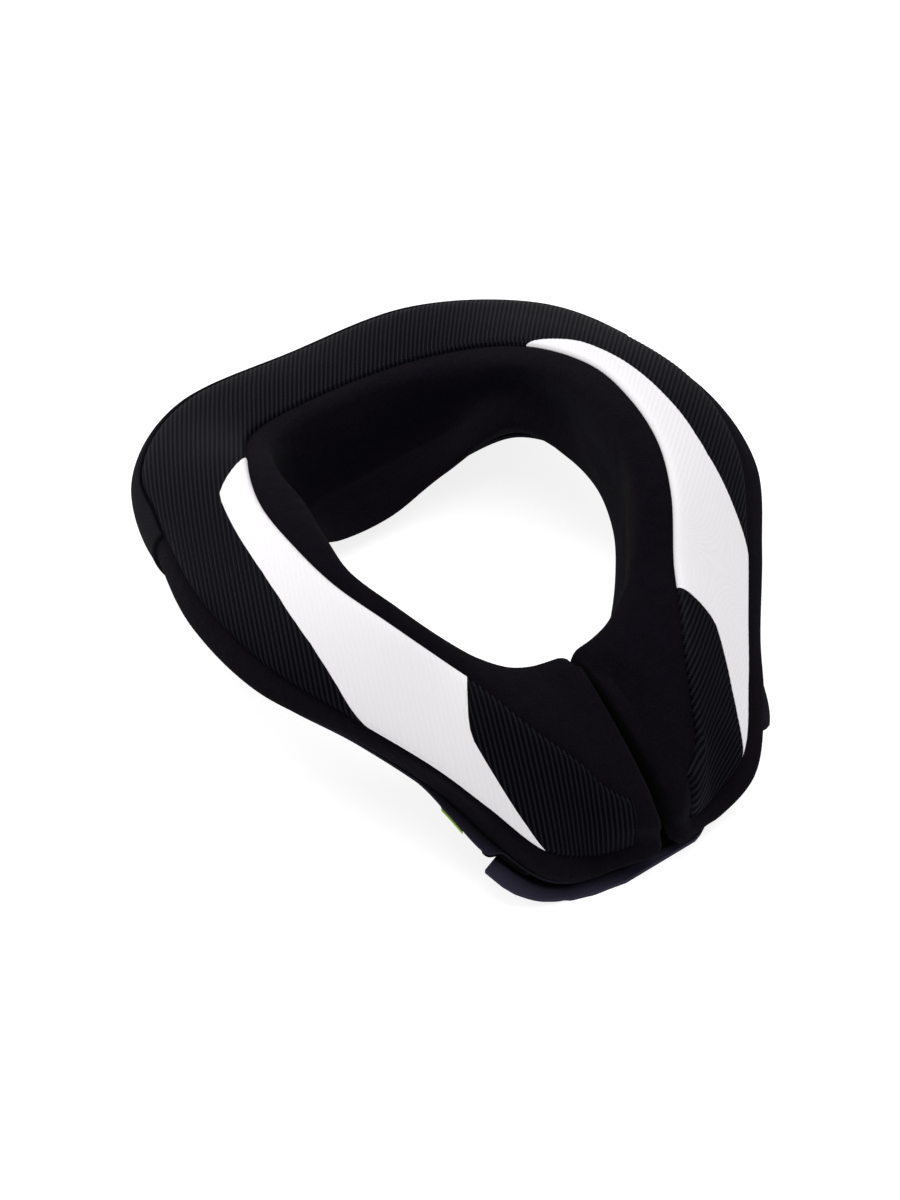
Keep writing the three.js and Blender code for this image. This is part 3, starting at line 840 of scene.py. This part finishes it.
def makeStrap():
    f = strapForm
    table = np.array(f["rows"], float)
    end = collar["baseEnd"]
    right = evenTurns(180 + table[0, 0], end, f["step"])
    left = evenTurns(-end, table[-1, 0] - 180, f["step"])
    turn = np.concatenate([right, left])
    past = turn - np.sign(turn) * 180
    reach, under, droop = (np.interp(past, table[:, 0], table[:, k]) for k in (1, 2, 3))
    slant, slantStart, slantEnd = f["slant"]
    inner = turn - slant * smoothStep(slantStart, slantEnd, past)
    points, normals = footGrid(turn, [reach], np.array([foot + 1 / 3, foot + 2 / 3]), inner)
    points[:, 0, 2] -= droop
    points = points + normals * (f["baseLift"] + under)[:, None, None]
    out = np.stack([reach, *(np.full(len(turn), inside) for inside in f["inner"])], -1)
    uv = np.stack([out, np.zeros(out.shape)], -1)
    low = points[..., 2] < f["wall"]
    points[..., 2] = np.maximum(points[..., 2], f["wall"])
    normals = np.where(low[..., None], down, normals)
    finish = clothFinish("strap cloth", (0.0145, 0.0132, 0.0255), (0.032, 0.0296, 0.0505), 0.8,
                         0.75, 0.08, 0.45, f["fold"])
    piece = wallMesh("closureStrap", points, normals, 0, f["wall"], finish, uv)
    softenEdges(piece, 0.7)
    declare(piece, "closure_strap")


tabForm = {"gap": 0.3, "rows": 16, "soften": 0.35}
tapeForm = {"start": -157.0, "end": -148.5, "beyond": -1.5, "wall": 1.2}
labelForm = {"start": -144.3, "end": -140.0, "beyond": 0.9, "wall": 1.0}


def makeTab(form, name, node, finish):
    lower = strapForm["baseLift"] + tabForm["gap"]
    turn = np.linspace(form["start"], form["end"], tabForm["rows"])
    reach = baseReach(turn)
    points, normals = footGrid(turn, [reach + form["beyond"], reach], np.array([foot, foot + 1 / 3]))
    piece = wallMesh(name, points, normals, lower, lower + form["wall"], finish)
    softenEdges(piece, tabForm["soften"])
    declare(piece, node)


makeRoll()
makePanel()
whitePrint = whiteFinish()
makeFlash(-1, "whiteFlashLeft", "white_flash_left")
makeFlash(1, "whiteFlashRight", "white_flash_right")
makeBand()
makeBase()
makeStrap()
hookCloth = clothFinish("hook tape", (0.002, 0.002, 0.003), (0.012, 0.012, 0.015), 0.7, 0.9, 0.05)
makeTab(tapeForm, "hookTape", "hook_tape", hookCloth)
limeCloth = clothFinish("lime label", (0.2, 0.35, 0.03), (0.28, 0.43, 0.06), 0.8, 0.8, 0.1)
makeTab(labelForm, "sideLabel", "side_label", limeCloth)

# Studio: pale paper that turns up far away, a key light from behind on the left and a wide fill from above
studio = {
    "floorSize": 60.0,
    "wallHeight": 9.0,                # the paper turns up at its edges
    "floorColour": (0.4, 0.4, 0.4),
    "floorGlow": 0.82,
    "world": 0.4,
    "key": {"place": (-0.61, 1.31, 1.23), "size": 0.8, "watts": 16.5},
    "fill": {"place": (0.3, -0.1, 2.3), "size": 2.0, "watts": 40.0},
}


def makeLight(name, form):
    data = bpy.data.lights.new(name, "AREA")
    data.size, data.energy = form["size"], form["watts"]
    lamp = bpy.data.objects.new(name, data)
    lamp.location = form["place"]
    lamp.rotation_euler = (-Vector(form["place"])).to_track_quat("-Z", "Y").to_euler()
    bpy.context.scene.collection.objects.link(lamp)


def makeStudio():
    half, top = studio["floorSize"] / 2 / mm, studio["wallHeight"] / mm
    sides = ((-1, -1), (1, -1), (1, 1), (-1, 1))
    corners = np.array([[x * half, y * half, z] for z in (0, top) for x, y in sides])
    faces = [[0, 1, 2, 3], [0, 4, 5, 1], [1, 5, 6, 2], [2, 6, 7, 3], [3, 7, 4, 0]]
    paper = Finish("pale floor", Base_Color=studio["floorColour"], Roughness=0.9, Specular_IOR_Level=0.1,
                   Emission_Color=(1.0, 1.0, 1.0), Emission_Strength=studio["floorGlow"])
    floor = makeObject("floor", corners, faces, paper.material)
    floor.data.polygons.foreach_set("use_smooth", np.zeros(len(faces), bool))
    floor.visible_glossy = False      # the dark cloth mirrors the studio, not the paper
    makeLight("key", studio["key"])
    makeLight("fill", studio["fill"])
    world = bpy.data.worlds.new("studio")
    world.use_nodes = True
    world.node_tree.nodes["Background"].inputs["Color"].default_value = (1, 1, 1, 1)
    world.node_tree.nodes["Background"].inputs["Strength"].default_value = studio["world"]
    bpy.context.scene.world = world
    bpy.context.scene.view_settings.view_transform = "Standard"


makeStudio()
print("studio set")
